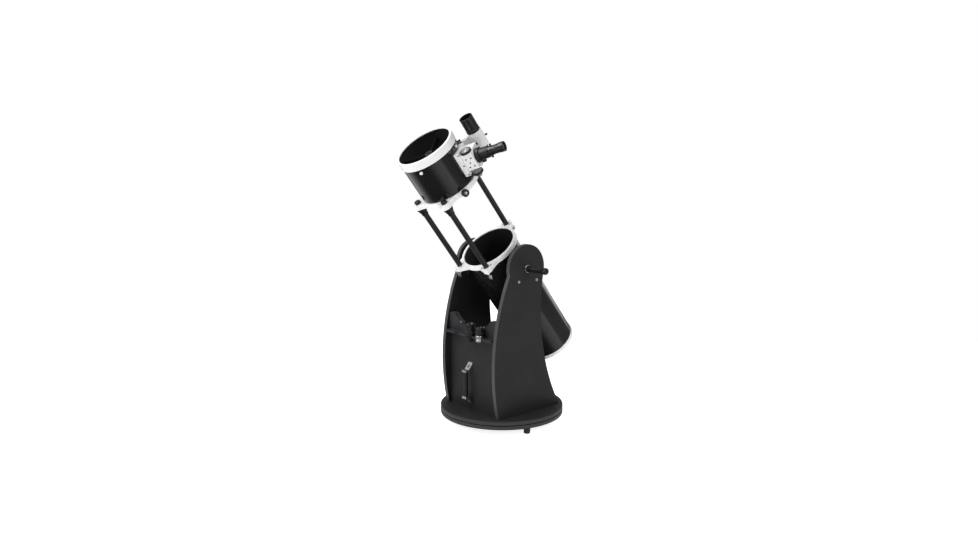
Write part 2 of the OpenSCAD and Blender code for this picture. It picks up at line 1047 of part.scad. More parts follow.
// Cast block with a saddle back, bored for the drawtube and for the focus shaft
module focuser_housing() {
    color("#e9e9e7")
        difference() {
            on_focuser()
                difference() {
                    union() {
                        translate([-saddle_l / 2, -saddle_w / 2, 90])
                            cube([saddle_l, saddle_w, saddle_top - 90]);
                        translate([housing_front, -housing_w / 2, 90])
                            cube([housing_rear - housing_front, housing_w, housing_top - 90]);
                    }
                    translate([0, 0, 80])
                        cylinder(r = drawtube_r + run, h = 120);
                    translate([0, shaft_side, shaft_reach])
                        rod_x(shaft_r + run, -saddle_l, saddle_l);
                    translate([-14, shaft_side - 8, shaft_reach - 8])
                        cube([28, 16, 16]);
                    translate([lock_knob_x, lock_knob_y, housing_top - 12])
                        cylinder(r = 3 + run, h = 20);
                    translate([hub_front, -housing_w / 2 - cut, hub_step_z])
                        cube([20, hub_step_w + cut, 60]);
                }
            on_tube()
                cylinder(r = tube_r, h = 700, $fn = 180);
        }
}

module focuser_collar() {
    color("#18181a")
        on_focuser()
            difference() {
                union() {
                    translate([0, 0, housing_top])
                        cylinder(r = collar_r, h = 5);
                    translate([0, 0, housing_top + 5])
                        cylinder(r = collar_r - 1, h = collar_top - housing_top - 5);
                }
                translate([0, 0, housing_top - cut])
                    cylinder(r = drawtube_r + run, h = 40);
            }
}

module focus_lock_knob() {
    color("#18181a")
        on_focuser()
            translate([lock_knob_x, lock_knob_y, 0])
                union() {
                    translate([0, 0, housing_top - 11])
                        cylinder(r = 3, h = 14);
                    translate([0, 0, housing_top + gap])
                        fluted_knob(7.5, 15, 10, 1.3);
                }
}

module focus_shaft() {
    color("#b5b7ba")
        on_focuser()
            translate([0, shaft_side, shaft_reach])
                rod_x(shaft_r, shaft_front + 1, shaft_rear - 1);
}

// Coarse knob on each end of the shaft, and the fine knob behind the rear one
module focus_knobs() {
    color("#1b1b1c")
        on_focuser()
            translate([0, shaft_side, shaft_reach])
                difference() {
                    union() {
                        translate([shaft_front + knob_t, 0, 0])
                            rotate([0, -90, 0])
                                fluted_knob(knob_r, knob_t, 24, 1.2);
                        translate([rear_knob_x, 0, 0])
                            rotate([0, 90, 0])
                                fluted_knob(knob_r, knob_t, 24, 1.2);
                        translate([hub_front + gap, 0, 0])
                            rotate([0, 90, 0])
                                cylinder(r = hub_r, h = rear_knob_x - hub_front);
                        translate([rear_knob_x + knob_t - cut, 0, 0])
                            rotate([0, 90, 0])
                                fluted_knob(11, shaft_rear - rear_knob_x - knob_t, 16, 1);
                    }
                    rod_x(shaft_r, -saddle_l, saddle_l);
                }
}

module drawtube() {
    color("#1a1a1b")
        on_focuser()
            sleeve(drawtube_r, drawtube_r - 3, drawtube_in, drawtube_out);
}

module eyepiece_adapter() {
    color("#1f1f20")
        on_focuser()
            difference() {
                union() {
                    translate([0, 0, drawtube_out - 20])
                        cylinder(r = drawtube_r - 3, h = 21);
                    translate([0, 0, drawtube_out])
                        cylinder(r = drawtube_r - 1, h = 4);
                    translate([0, 0, drawtube_out + 4])
                        cylinder(r = 19, h = 16);
                }
                translate([0, 0, drawtube_out - 21])
                    cylinder(r = barrel_r, h = 50);
                for (side = [-1, 1])
                    translate([0, 0, drawtube_out + 12])
                        rotate([side * 90, 0, adapter_turn])
                            cylinder(r = 1.5, h = 30);
            }
}

module adapter_screws() {
    color("#2a2a2b")
        on_focuser()
            for (side = [-1, 1])
                translate([0, 0, drawtube_out + 12])
                    rotate([side * 90, 0, adapter_turn])
                        union() {
                            translate([0, 0, barrel_r])
                                cylinder(r = 1.5, h = 6);
                            translate([0, 0, 20])
                                fluted_knob(4, 7, 8, 0.9);
                        }
}

module main_eyepiece() {
    color("#1a1a1b")
        on_focuser()
            translate([0, 0, drawtube_out + 20])
                eyepiece(48, 17.5, 19.5);
}

// ---- Finder ----

// Dovetail shoe with the screw that locks the bracket in it
module finder_shoe() {
    color("#1e1e1f")
        on_tube() {
            rotate([0, 0, finder_phi])
                translate([tube_r + 9, 0, shoe_z])
                    rotate([-90, 0, 0])
                        union() {
                            translate([0, 0, 10.7])
                                cylinder(r = 2, h = 12);
                            translate([0, 0, 18])
                                fluted_knob(5, 9, 10, 0.8);
                        }
            difference() {
                rotate([0, 0, finder_phi])
                    difference() {
                        translate([tube_r - 6, -16, shoe_z - shoe_l / 2])
                            cube([19, 32, shoe_l]);
                        translate([0, 0, shoe_z - shoe_l / 2 - cut])
                            linear_extrude(height = shoe_l + 2 * cut)
                                polygon([
                                    [tube_r + 5, -12], [tube_r + 14, -9],
                                    [tube_r + 14, 9], [tube_r + 5, 12]
                                ]);
                    }
                translate([0, 0, shoe_z - shoe_l])
                    cylinder(r = tube_r, h = 2 * shoe_l, $fn = 180);
                rotate([0, 0, finder_phi])
                    translate([tube_r + 9, 0, shoe_z])
                        rotate([-90, 0, 0])
                            cylinder(r = 2, h = 30);
            }
        }
}

// Dovetail foot, stalk and the long ring that holds the finder
module finder_bracket() {
    color("#e6e6e4")
        on_tube()
            difference() {
                union() {
                    rotate([0, 0, finder_phi])
                        translate([0, 0, shoe_z - 18])
                            linear_extrude(height = 36)
                                polygon([
                                    [tube_r + 5, -12], [tube_r + 13, -9.333],
                                    [tube_r + 13, 9.333], [tube_r + 5, 12]
                                ]);
                    rotate([0, 0, finder_phi])
                        rotate([90, 0, 0])
                            linear_extrude(height = 16, center = true)
                                polygon([
                                    [tube_r + 12, shoe_z - 18], [finder_reach - 18, finder_ring_z + 4],
                                    [finder_reach - 18, finder_shade - 4], [tube_r + 12, shoe_z + 18]
                                ]);
                    around(finder_phi, finder_reach, finder_ring_z)
                        cylinder(r = finder_ring_r, h = finder_shade - finder_ring_z - 1);
                }
                around(finder_phi, finder_reach, finder_ring_z - cut)
                    cylinder(r = finder_body_r + 2.5, h = 100);
                around(finder_phi, finder_reach, finder_ring_z + 30)
                    for (turn = [-60, 60, 180])
                        rotate([0, 0, turn - finder_phi])
                            rod_x(2, finder_body_r, finder_ring_r + (turn == 180 ? 4 : 8));
            }
}

// Two adjusting screws and a spring plunger around the finder
module finder_screws() {
    color("#2c2c2d")
        on_finder()
            translate([0, 0, finder_ring_z + 30])
                for (turn = [-60, 60, 180])
                    rotate([0, 0, turn - finder_phi])
                        union() {
                            rod_x(2, finder_body_r + 1.2, finder_ring_r + 4);
                            rod_x(4, finder_ring_r + 3, finder_ring_r + (turn == 180 ? 7 : 11));
                        }
}

// Eyepiece, body and dew shade of the finder, with its objective lens set back
module finder_tube() {
    color("#19191a")
        on_finder()
            rotate_extrude()
                polygon([
                    [0, finder_rear + 3], [9, finder_rear + 3], [9, finder_rear], [13, finder_rear],
                    [14, finder_rear + 3], [14, finder_rear + 20], [18, finder_rear + 24],
                    [18, finder_rear + 34], [finder_body_r, finder_rear + 40],
                    [finder_body_r, finder_shade], [shade_r, finder_shade + 2],
                    [shade_r, finder_front - 1], [shade_r - 1, finder_front],
                    [shade_r - 2.5, finder_front], [shade_r - 2.5, finder_front - 40],
                    [0, finder_front - 38]
                ]);
}

ground_board();
feet();
glide_pads();
azimuth_bolt();
azimuth_nut();
turntable_board();
left_side_panel();
right_side_panel();
front_board();
board_screws();
altitude_pegs();
peg_screws();
eyepiece_rack();
stored_eyepieces();
handle_grip();
handle_brackets();
lower_tube();
rear_ring();
mirror_backplate();
mirror_cell();
collimation_springs();
primary_mirror();
mirror_clips();
cell_lock_screws();
lower_truss_ring();
rod_bushings();
altitude_bearings();
bearing_screws();
left_tension_handle();
right_tension_handle();
collimation_knob_a();
collimation_knob_b();
collimation_knob_c();
rod_clamp_left();
rod_clamp_right();
rod_clamp_top();
truss_rods();
rod_sockets();
rod_knobs();
upper_truss_ring();
ring_knob();
upper_tube();
front_ring();
spider();
spider_screws();
secondary_holder();
secondary_mirror();
focuser_housing();
focuser_collar();
focus_lock_knob();
focus_shaft();
focus_knobs();
drawtube();
eyepiece_adapter();
adapter_screws();
main_eyepiece();
finder_shoe();
finder_bracket();
finder_screws();
finder_tube();
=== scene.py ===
"""Looks of a collapsible dobsonian telescope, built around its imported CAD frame."""

import json
import math

import bmesh
import bpy
from mathutils import Matrix, Vector


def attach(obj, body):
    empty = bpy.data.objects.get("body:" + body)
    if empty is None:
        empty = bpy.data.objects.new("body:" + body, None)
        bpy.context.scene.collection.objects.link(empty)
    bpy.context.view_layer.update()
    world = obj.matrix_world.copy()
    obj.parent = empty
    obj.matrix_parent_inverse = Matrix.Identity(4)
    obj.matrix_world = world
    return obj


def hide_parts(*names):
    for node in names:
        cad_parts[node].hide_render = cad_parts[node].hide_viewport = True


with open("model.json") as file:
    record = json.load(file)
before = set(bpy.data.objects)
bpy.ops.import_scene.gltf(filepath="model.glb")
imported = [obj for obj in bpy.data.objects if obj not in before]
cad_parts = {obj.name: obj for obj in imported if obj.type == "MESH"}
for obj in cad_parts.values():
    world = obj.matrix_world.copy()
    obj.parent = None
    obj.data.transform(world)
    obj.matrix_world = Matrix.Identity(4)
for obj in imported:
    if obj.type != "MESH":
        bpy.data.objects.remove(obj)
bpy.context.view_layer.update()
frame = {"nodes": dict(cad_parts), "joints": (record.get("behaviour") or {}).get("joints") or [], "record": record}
nodes = frame["nodes"]
joints = {joint["name"]: joint for joint in frame["joints"]}

MM = 0.001

# Camera: degrees round from the front and up, metres from the point that it faces, lens in millimetres
CAMERA_VIEW = (49.1, 8.7, 3.4003)
CAMERA_AIM = Vector((-0.1058, 0.019, 0.6041))
CAMERA_LENS = 28.605
CAMERA_SENSOR = 36

# Studio: what the softboxes face, the floor's size, and the brightness of the surroundings
# by the height of the direction, from straight down at 0 to straight up at 1
LIGHT_AIM = Vector((0, 0, 0.6))
FLOOR_RADIUS = 3.2
STUDIO = (
    (0.001, 0.02), (0.10, 0.05), (0.17, 0.70), (0.31, 1.00), (0.34, 0.30),
    (0.45, 0.22), (0.52, 0.12), (0.75, 0.40), (0.999, 0.55),
)

# On the tube: millimetres along it from the altitude axis and out from its own axis, and degrees
# round it from the right
FOCUSER_HEIGHT = 516
FOCUSER_ANGLE = 28
FINDER_ANGLE = 57
FINDER_REACH = 192
ROD_ANGLES = (-119.5, -51.5, 94.5)
LOWER_RING_TOP = 104
RING_SCREW_TURN = 8.2
RING_SCREW_REACH = 140
RING_KNOB_ANGLE = -15
RING_KNOB_HEIGHT = 430
SPRING_SEAT = -464
SPRING_REACH = 75
# A radius within the thickness of the tubes' wall, in metres
WALL_RADIUS = 0.1168

# On the focuser: millimetres out from the tube's axis, and to the side
EYEPIECE_SEAT = 248
SHAFT_HEIGHT = 159
SHAFT_SIDE = -27.1
HOUSING_SIDE = 36
HOUSING_BASE = 127

# On the base and the rocker box: millimetres from the azimuth axis and the floor, and degrees
FOOT_ANGLE = -17
FOOT_REACH = 247
RACK_HOLE = (10, -187, 386)
RACK_SCREW = (73.5, -164, 426)


# ---- Frames ----

def shifted(start, x=0.0, y=0.0, z=0.0):
    """The same frame, moved along its own axes by millimetres."""
    return start @ Matrix.Translation((x * MM, y * MM, z * MM))


def turned(start, angle, axis):
    return start @ Matrix.Rotation(math.radians(angle), 4, axis)


def around(start, angle, radius, z=0.0):
    """A frame at an angle and radius round the start frame's z axis."""
    return shifted(turned(start, angle, "Z"), x=radius, z=z)


# The room: x to the right, y to the back, z up, on the floor under the azimuth axis
ROOM = Matrix.Identity(4)

# The tube: x to the right, y to the tube's back, z to the sky, on the altitude axis
pivot = Vector(joints["altitude"]["pos_m"])
to_sky = Vector(joints["truss_slide"]["axis"])
to_right = Vector((1, 0, 0))
to_back = to_sky.cross(to_right)
TUBE = Matrix((to_right, to_back, to_sky)).transposed().to_4x4()
TUBE.translation = pivot
TUBE_TILT = math.atan2(to_back.z, to_back.y)

# The focuser: z out along its drawtube; the finder: z along its own axis
FOCUSER = turned(turned(shifted(TUBE, z=FOCUSER_HEIGHT), FOCUSER_ANGLE, "Z"), 90, "Y")
FINDER = around(TUBE, FINDER_ANGLE, FINDER_REACH)


# ---- Node helpers ----

def grey(value, warmth=0.0):
    return (value * (1 + warmth), value, value * (1 - warmth), 1)


def add_node(tree, kind, links=None, **values):
    """A node with these settings, its inputs linked to sockets or set to values."""
    node = tree.nodes.new(kind)
    for key, value in values.items():
        setattr(node, key, value)
    for socket, source in (links or {}).items():
        if hasattr(source, "is_output"):
            tree.links.new(source, node.inputs[socket])
        else:
            node.inputs[socket].default_value = source
    return node


def new_material(name, **sockets):
    """A material, its node tree and its shader with these socket values."""
    made = bpy.data.materials.new(name)
    made.use_nodes = True
    shader = made.node_tree.nodes["Principled BSDF"]
    for socket, value in sockets.items():
        shader.inputs[socket.replace("_", " ").title().replace("Ior", "IOR")].default_value = value
    return made, made.node_tree, shader


def object_coords(tree):
    return add_node(tree, "ShaderNodeTexCoord").outputs["Object"]


def tube_coords(tree):
    """Coordinates in the tube's own frame, so that a pattern can run round or along the tube."""
    links = {"Vector": object_coords(tree), "Location": pivot, "Rotation": (TUBE_TILT, 0, 0)}
    return add_node(tree, "ShaderNodeMapping", links, vector_type="TEXTURE").outputs["Vector"]


def noise(tree, coords, scale, detail=3, roughness=0.55):
    links = {"Vector": coords, "Scale": scale, "Detail": detail, "Roughness": roughness}
    return add_node(tree, "ShaderNodeTexNoise", links).outputs["Fac"]


def between(tree, value, low, high, start=0.3, end=0.7):
    """The value, stretched from start and end to low and high."""
    links = {"Value": value, "From Min": start, "From Max": end, "To Min": low, "To Max": high}
    return add_node(tree, "ShaderNodeMapRange", links).outputs["Result"]


def maths(tree, operation, *values):
    return add_node(tree, "ShaderNodeMath", dict(enumerate(values)), operation=operation).outputs[0]


def blend(tree, factor, first, second):
    """A number between two others."""
    return add_node(tree, "ShaderNodeMix", {0: factor, 2: first, 3: second}).outputs[0]


def blend_colours(tree, factor, first, second):
    return add_node(tree, "ShaderNodeMix", {0: factor, 6: first, 7: second}, data_type="RGBA").outputs[2]


def bump(tree, height, strength, distance, normal=None):
    links = {"Height": height, "Strength": strength, "Distance": distance}
    if normal:
        links["Normal"] = normal
    return add_node(tree, "ShaderNodeBump", links).outputs["Normal"]


# ---- Materials ----

def plain_floor():
    """Pale paper that glows, so that it is as white as the surroundings."""
    made, tree, shader = new_material("floor_paper", roughness=0.9, specular_ior_level=0.1)
    cloud = noise(tree, object_coords(tree), 1.5)
    colour = blend_colours(tree, between(tree, cloud, 0, 1), grey(0.84), grey(0.86))
    tree.links.new(colour, shader.inputs["Base Color"])
    tree.links.new(colour, shader.inputs["Emission Color"])
    shader.inputs["Emission Strength"].default_value = 1.0
    return made


def textured(name, dark, light, roughness, patch=9, grain=900, depth=0.06, **sockets):
    """A finish with patchy colour and gloss, and a fine grain with its height in millimetres."""
    made, tree, shader = new_material(name, **sockets)
    place = object_coords(tree)
    patches = noise(tree, place, patch, 5)
    fine = noise(tree, place, grain, 2, 0.7)
    mottle = maths(tree, "MULTIPLY", between(tree, patches, 0, 1), fine)
    tree.links.new(blend_colours(tree, mottle, dark, light), shader.inputs["Base Color"])
    smudges = noise(tree, place, patch * 3, 6, 0.65)
    tree.links.new(between(tree, smudges, *roughness), shader.inputs["Roughness"])
    tree.links.new(bump(tree, fine, 1.0, depth * MM), shader.inputs["Normal"])
    return made


def laminate(name, axis, edge):
    """Black laminate with a pebbled face across this axis, and smoother banding on its edges, painted lighter:
    partly the banding's own tone, partly a painted sheen.
    """
    made, tree, shader = new_material(name, specular_ior_level=0.35)
    place = object_coords(tree)
    pebbles = add_node(tree, "ShaderNodeTexVoronoi", {"Vector": place, "Scale": 700})
    fine = noise(tree, place, 1600, 2, 0.7)
    patches = noise(tree, place, 6, 6, 0.6)
    grain = maths(tree, "ADD", pebbles.outputs["Distance"], fine)
    normals = add_node(tree, "ShaderNodeTexCoord").outputs["Normal"]
    parts = add_node(tree, "ShaderNodeSeparateXYZ", {"Vector": normals})
    facing = maths(tree, "ABSOLUTE", parts.outputs[axis])
    is_edge = between(tree, facing, 1, 0, 0.45, 0.9)
    deep, pale = (0.0110, 0.0110, 0.0126, 1), (0.0145, 0.0145, 0.0162, 1)
    face = blend_colours(tree, between(tree, patches, 0, 1), deep, pale)
    speckled = blend_colours(tree, between(tree, fine, 0, 0.35, 0.5, 0.8), face, grey(0.05))
    # Edge faces get the lighter edge grey: the banding's colour with a painted sheen on it
    tree.links.new(blend_colours(tree, is_edge, speckled, grey(edge)), shader.inputs["Base Color"])
    rough = between(tree, noise(tree, place, 22, 6, 0.65), 0.46, 0.60)
    tree.links.new(blend(tree, is_edge, rough, 0.40), shader.inputs["Roughness"])
    tree.links.new(bump(tree, grain, 0.8, 0.10 * MM), shader.inputs["Normal"])
    return made


def outside_tube(tree, place):
    """1 on the outer face of the tubes' wall and beyond it, 0 on its inner face and nearer in."""
    parts = add_node(tree, "ShaderNodeSeparateXYZ", {"Vector": place})
    across = {"X": parts.outputs["X"], "Y": parts.outputs["Y"]}
    flat = add_node(tree, "ShaderNodeCombineXYZ", across).outputs[0]
    radius = add_node(tree, "ShaderNodeVectorMath", {0: flat}, operation="LENGTH").outputs["Value"]
    return between(tree, radius, 0, 1, WALL_RADIUS, WALL_RADIUS + 0.2 * MM)


def lacquer():
    """Glossy black paint outside the tubes, dull black flocking inside them."""
    made, tree, shader = new_material("lacquer", coat_roughness=0.06, specular_ior_level=0.3)
    place = tube_coords(tree)
    outside = outside_tube(tree, place)
    peel = noise(tree, place, 160, 2, 0.5)
    flock = noise(tree, place, 1400, 3, 0.7)
    flakes = between(tree, noise(tree, place, 2600, 1, 0.5), 0, 1, 0.62, 0.74)
    paint = blend_colours(tree, flakes, grey(0.007), grey(0.014))
    tree.links.new(blend_colours(tree, outside, grey(0.012), paint), shader.inputs["Base Color"])
    haze = between(tree, noise(tree, place, 14, 6, 0.65), 0.13, 0.22)
    tree.links.new(blend(tree, outside, 0.85, haze), shader.inputs["Roughness"])
    tree.links.new(maths(tree, "MULTIPLY", outside, 0.5), shader.inputs["Coat Weight"])
    fuzz = bump(tree, blend(tree, outside, flock, 0.5), 1.0, 0.25 * MM)
    tree.links.new(bump(tree, peel, 0.2, 0.002 * MM, fuzz), shader.inputs["Normal"])
    return made


def spider_screw_lit_and_shaded():
    """Screws painted white outside the tube as a painted highlight, and black inside it as painted shade."""
    made, tree, shader = new_material("spider_screw_lit_and_shaded", roughness=0.45)
    place = tube_coords(tree)
    mottle = noise(tree, place, 300, 4, 0.6)
    white = blend_colours(tree, mottle, grey(0.66), grey(0.80))
    black = blend_colours(tree, mottle, grey(0.004), grey(0.010))
    # Painted highlight on the screws outside the tube, painted shade on them inside it
    colour = blend_colours(tree, outside_tube(tree, place), black, white)
    tree.links.new(colour, shader.inputs["Base Color"])
    tree.links.new(bump(tree, mottle, 0.4, 0.02 * MM), shader.inputs["Normal"])
    return made


# Darkest and lightest colour, least and most roughness, and what differs from the usual
TEXTURED = {
    "rubber": (grey(0.010), grey(0.03), (0.65, 0.85), dict(grain=500, depth=0.2)),
    "white_plastic": (grey(0.70, 0.04), grey(0.80, 0.03), (0.35, 0.5), {}),
    "zinc_steel": (grey(0.42), grey(0.62, 0.02), (0.22, 0.38), dict(metallic=1.0)),
    "satin_steel": (
        grey(0.42), grey(0.58), (0.36, 0.50), dict(grain=700, depth=0.03, metallic=0.7)),
    "spring_steel": (grey(0.35), grey(0.5), (0.25, 0.35), dict(metallic=1.0)),
    "black_screw": (grey(0.003), grey(0.009), (0.35, 0.5), dict(grain=700)),
    "rack_plastic": (
        (0.016, 0.016, 0.018, 1), (0.026, 0.026, 0.029, 1), (0.42, 0.55), dict(grain=1300, depth=0.10)),
    "black_plastic": (grey(0.007), grey(0.014), (0.30, 0.46), dict(grain=1100, depth=0.08)),
    "grip_black": (grey(0.005), grey(0.010), (0.28, 0.42), dict(grain=1000, depth=0.05)),
    "eyepiece_black": (grey(0.008), grey(0.016), (0.16, 0.26), dict(grain=1500, depth=0.01)),
    "matt_black": (grey(0.007), grey(0.014), (0.40, 0.55), dict(grain=1700, depth=0.07)),
    "flat_black": (grey(0.003), grey(0.007), (0.6, 0.75), dict(grain=1500, depth=0.03)),
    "finder_lacquer": (
        grey(0.006), grey(0.020), (0.16, 0.26),
        dict(grain=160, depth=0.02, coat_weight=0.5, coat_roughness=0.08)),
    "white_casting": (
        grey(0.74, 0.005), grey(0.84, 0.005), (0.24, 0.38),
        dict(grain=300, depth=0.03, coat_weight=0.35, coat_roughness=0.15)),
    "cast_aluminium": (
        grey(0.45), grey(0.62), (0.38, 0.55), dict(grain=450, depth=0.15, metallic=1.0)),
    "turned_aluminium": (
        grey(0.55), grey(0.70), (0.22, 0.36), dict(patch=40, grain=1200, depth=0.02, metallic=1.0)),
    "chrome": (
        grey(0.80), grey(0.92), (0.14, 0.24), dict(patch=25, depth=0.004, metallic=1.0)),
    "mirror": (grey(0.86), grey(0.93), (0.01, 0.03), dict(depth=0.0005, metallic=1.0)),
    # Secondary mirror's coating, its low grey painted in as painted shade inside the tube
    "aluminised_painted_dark": (grey(0.10), grey(0.14), (0.04, 0.08), dict(depth=0.0005, metallic=1.0)),
    "glass": (
        (0.010, 0.012, 0.030, 1), (0.030, 0.014, 0.045, 1), (0.02, 0.05),
        dict(patch=30, depth=0.0005, coat_weight=1.0, coat_roughness=0.02)),
}


def make_materials():
    made = {
        # Each laminate's last number is its edges' grey, a painted sheen on the banding
        "laminate_x": laminate("laminate_x", "X", 0.052),
        "laminate_y": laminate("laminate_y", "Y", 0.045),
        "laminate_z": laminate("laminate_z", "Z", 0.030),
        "lacquer": lacquer(),
        "spider_screw_lit_and_shaded": spider_screw_lit_and_shaded(),
    }
    for name, (dark, light, roughness, rest) in TEXTURED.items():
        made[name] = textured(name, dark, light, roughness, **rest)
    return made


# ---- CAD nodes ----

# A CAD node has the finish of its own name here, else of its slot here, else the one named like its slot
NODE_FINISH = {
    "ground_board": "laminate_z",
    "turntable_board": "laminate_z",
    "left_side_panel": "laminate_x",
    "right_side_panel": "laminate_x",
    "front_board": "laminate_y",
    "finder_tube": "finder_lacquer",
    "secondary_holder": "flat_black",
    "secondary_mirror": "aluminised_painted_dark",
    "spider": "flat_black",
    "peg_screws": "satin_steel",
    "bearing_screws": "satin_steel",
    "spider_screws": "spider_screw_lit_and_shaded",
}
SLOT_FINISH = {"tube_black": "lacquer"}

# Edge rounding in millimetres: of the boards, and of all else
BEVELS = {"laminate_x": 1.2, "laminate_y": 1.2, "laminate_z": 1.5}
FINE_BEVEL = 0.3


def dress(thing, finish):
    """Gives a CAD node its material and fine rounded edges."""
    thing.data.materials.clear()
    thing.data.materials.append(finish)
    if "custom_normal" in thing.data.attributes:
        thing.data.attributes.remove(thing.data.attributes["custom_normal"])
    thing.data.shade_smooth()
    weld = thing.modifiers.new("weld", "WELD")
    weld.merge_threshold = 0.002 * MM
    bevel = thing.modifiers.new("edges", "BEVEL")
    bevel.limit_method = "ANGLE"
    bevel.angle_limit = math.radians(32)
    bevel.width = BEVELS.get(finish.name, FINE_BEVEL) * MM
    bevel.segments = 2
    bevel.use_clamp_overlap = True
    normals = thing.modifiers.new("normals", "WEIGHTED_NORMAL")
    normals.keep_sharp = True


def dress_nodes(finishes):
    for part in frame["record"]["subparts"]:
        node, slot = part["node"], part["material_slot"]
        dress(nodes[node], finishes[NODE_FINISH.get(node) or SLOT_FINISH.get(slot) or slot])


# ---- Turned and wound pieces ----


def add_piece(name, shape, place, finish, body, edge=0.15):
    """Makes an object of a bmesh whose units are millimetres in the frame place."""
    bmesh.ops.recalc_face_normals(shape, faces=shape.faces)
    mesh = bpy.data.meshes.new(name)
    shape.to_mesh(mesh)
    shape.free()
    mesh.transform(place @ Matrix.Scale(MM, 4))
    mesh.shade_smooth()
    mesh.set_sharp_from_angle(angle=math.radians(32))
    mesh.materials.append(finish)
    piece = bpy.data.objects.new(name, mesh)
    bpy.context.scene.collection.objects.link(piece)
    bevel = piece.modifiers.new("edges", "BEVEL")
    bevel.limit_method = "ANGLE"
    bevel.angle_limit = math.radians(40)
    bevel.width = edge * MM
    bevel.segments = 2
    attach(piece, body)
    return piece


def join_rings(shape, first, second):
    """Faces between two rings of points, either of which may be a single point."""
    count = max(len(first), len(second))
    for i in range(count):
        j = (i + 1) % count
        if len(first) == 1:
            shape.faces.new((first[0], second[j], second[i]))
        elif len(second) == 1:
            shape.faces.new((first[i], first[j], second[0]))
        else:
            shape.faces.new((first[i], first[j], second[j], second[i]))


def lathe(name, outline, place, finish, body, hollow=False, ribs=0, depth=0.0, edge=0.15):
    """A solid turned round its z axis from (radius, height) points; its widest part may have ribs."""
    shape = bmesh.new()
    count = ribs * 4 or 72
    widest = max(radius for radius, z in outline)
    rings = []
    for radius, z in outline:
        ring = []
        for i in range(count if radius else 1):
            groove = depth if ribs and i % 4 < 2 and radius > widest - 0.01 else 0
            angle = math.tau * i / count
            reach = radius - groove
            ring.append(shape.verts.new((reach * math.cos(angle), reach * math.sin(angle), z)))
        rings.append(ring)
    for first, second in zip(rings, rings[1:]):
        join_rings(shape, first, second)
    if hollow:
        join_rings(shape, rings[-1], rings[0])
    return add_piece(name, shape, place, finish, body, edge)


def screw(name, place, radius, height, finish, body):
    """A round-headed screw with a socket, its head standing on z = 0."""
    socket = radius * 0.45
    outline = [
        (0, -1.5), (radius * 0.5, -1.5), (radius * 0.5, 0), (radius, 0), (radius, height * 0.55),
        (radius * 0.72, height), (socket, height), (socket, height * 0.3), (0, height * 0.3),
    ]
    return lathe(name, outline, place, finish, body, edge=0.1)


def coil(name, place, radius, wire, height, turns, finish, body):
    """A wound spring with flat ends."""
    shape = bmesh.new()
    per_turn, sides, flat_end = 24, 8, 0.12
    steps = turns * per_turn
    rings = []
    for i in range(steps + 1):
        angle = math.tau * i / per_turn
        climb = min(max((i / steps - flat_end) / (1 - 2 * flat_end), 0), 1)
        rise = wire + (height - 2 * wire) * climb
        ring = []
        for k in range(sides):
            around_wire = math.tau * k / sides
            reach = radius + wire * math.cos(around_wire)
            up = rise + wire * math.sin(around_wire)
            ring.append(shape.verts.new((reach * math.cos(angle), reach * math.sin(angle), up)))
        rings.append(ring)
    for first, second in zip(rings, rings[1:]):
        join_rings(shape, first, second)
    shape.faces.new(reversed(rings[0]))
    shape.faces.new(rings[-1])
    return add_piece(name, shape, place, finish, body, edge=0.01)


# ---- Sub-parts with their own detail ----

def eyepiece(name, place, body, width, height, cup, finishes, cup_finish="rubber", barrel="chrome"):
    """Chrome barrel, turned black body with a ribbed rubber grip, flared eyecup and coated lens."""
    waist = height * 0.45
    lathe(f"{name}_barrel", [
        (0, -26), (15.3, -26), (15.8, -25.4), (15.8, -17), (15, -16.2),
        (15, -10.8), (15.8, -10), (15.8, 0.2), (0, 0.2),
    ], place, finishes[barrel], body)
    lathe(f"{name}_body", [
        (0, 0), (width - 0.8, 0), (width, 0.8), (width, 5.5), (width - 0.7, 6), (width - 0.7, 7.5),
        (width, 8), (width, waist), (width - 1, waist + 0.8), (0, waist + 0.8),
    ], place, finishes["eyepiece_black"], body)
    lathe(f"{name}_grip", [
        (width - 1.2, waist * 0.5), (width + 0.35, waist * 0.5), (width + 0.35, waist - 0.6),
        (width - 1.2, waist - 0.6),
    ], place, finishes["rubber"], body, hollow=True, ribs=36, depth=0.5)
    lathe(f"{name}_eyecup", [
        (0, waist + 0.6), (width - 1, waist + 0.6), (cup - 0.6, height * 0.68), (cup, height - 7),
        (cup, height - 1), (cup - 0.8, height), (cup - 2.4, height), (cup - 4.5, height - 5),
        (0, height - 5),
    ], place, finishes[cup_finish], body)
    lathe(f"{name}_lens", [
        (0, height - 5.2), (cup - 6, height - 5.2), (cup - 6.3, height - 4.6),
        (cup * 0.35, height - 3.6), (0, height - 3.4),
    ], place, finishes["glass"], body)


def focus_knob(name, place, thickness, finishes):
    """An aluminium disc, turned on both faces, in a ribbed rubber rim."""
    lathe(f"{name}_rim", [
        (17.5, 0.8), (21.2, 0), (22, 0.9), (22, thickness - 0.9), (21.2, thickness),
        (17.5, thickness - 0.8),
    ], place, finishes["black_plastic"], "focus_shaft", hollow=True, ribs=40, depth=0.7)
    lathe(f"{name}_disc", [
        (4.1, 0.3), (9, 0.3), (9.6, 0.9), (11, 0.9), (11.6, 0.3), (17.4, 0.3), (17.6, 1),
        (17.6, thickness - 1), (17.4, thickness - 0.3), (11.6, thickness - 0.3), (11, thickness - 0.9),
        (9.6, thickness - 0.9), (9, thickness - 0.3), (4.1, thickness - 0.3),
    ], place, finishes["turned_aluminium"], "focus_shaft", hollow=True)


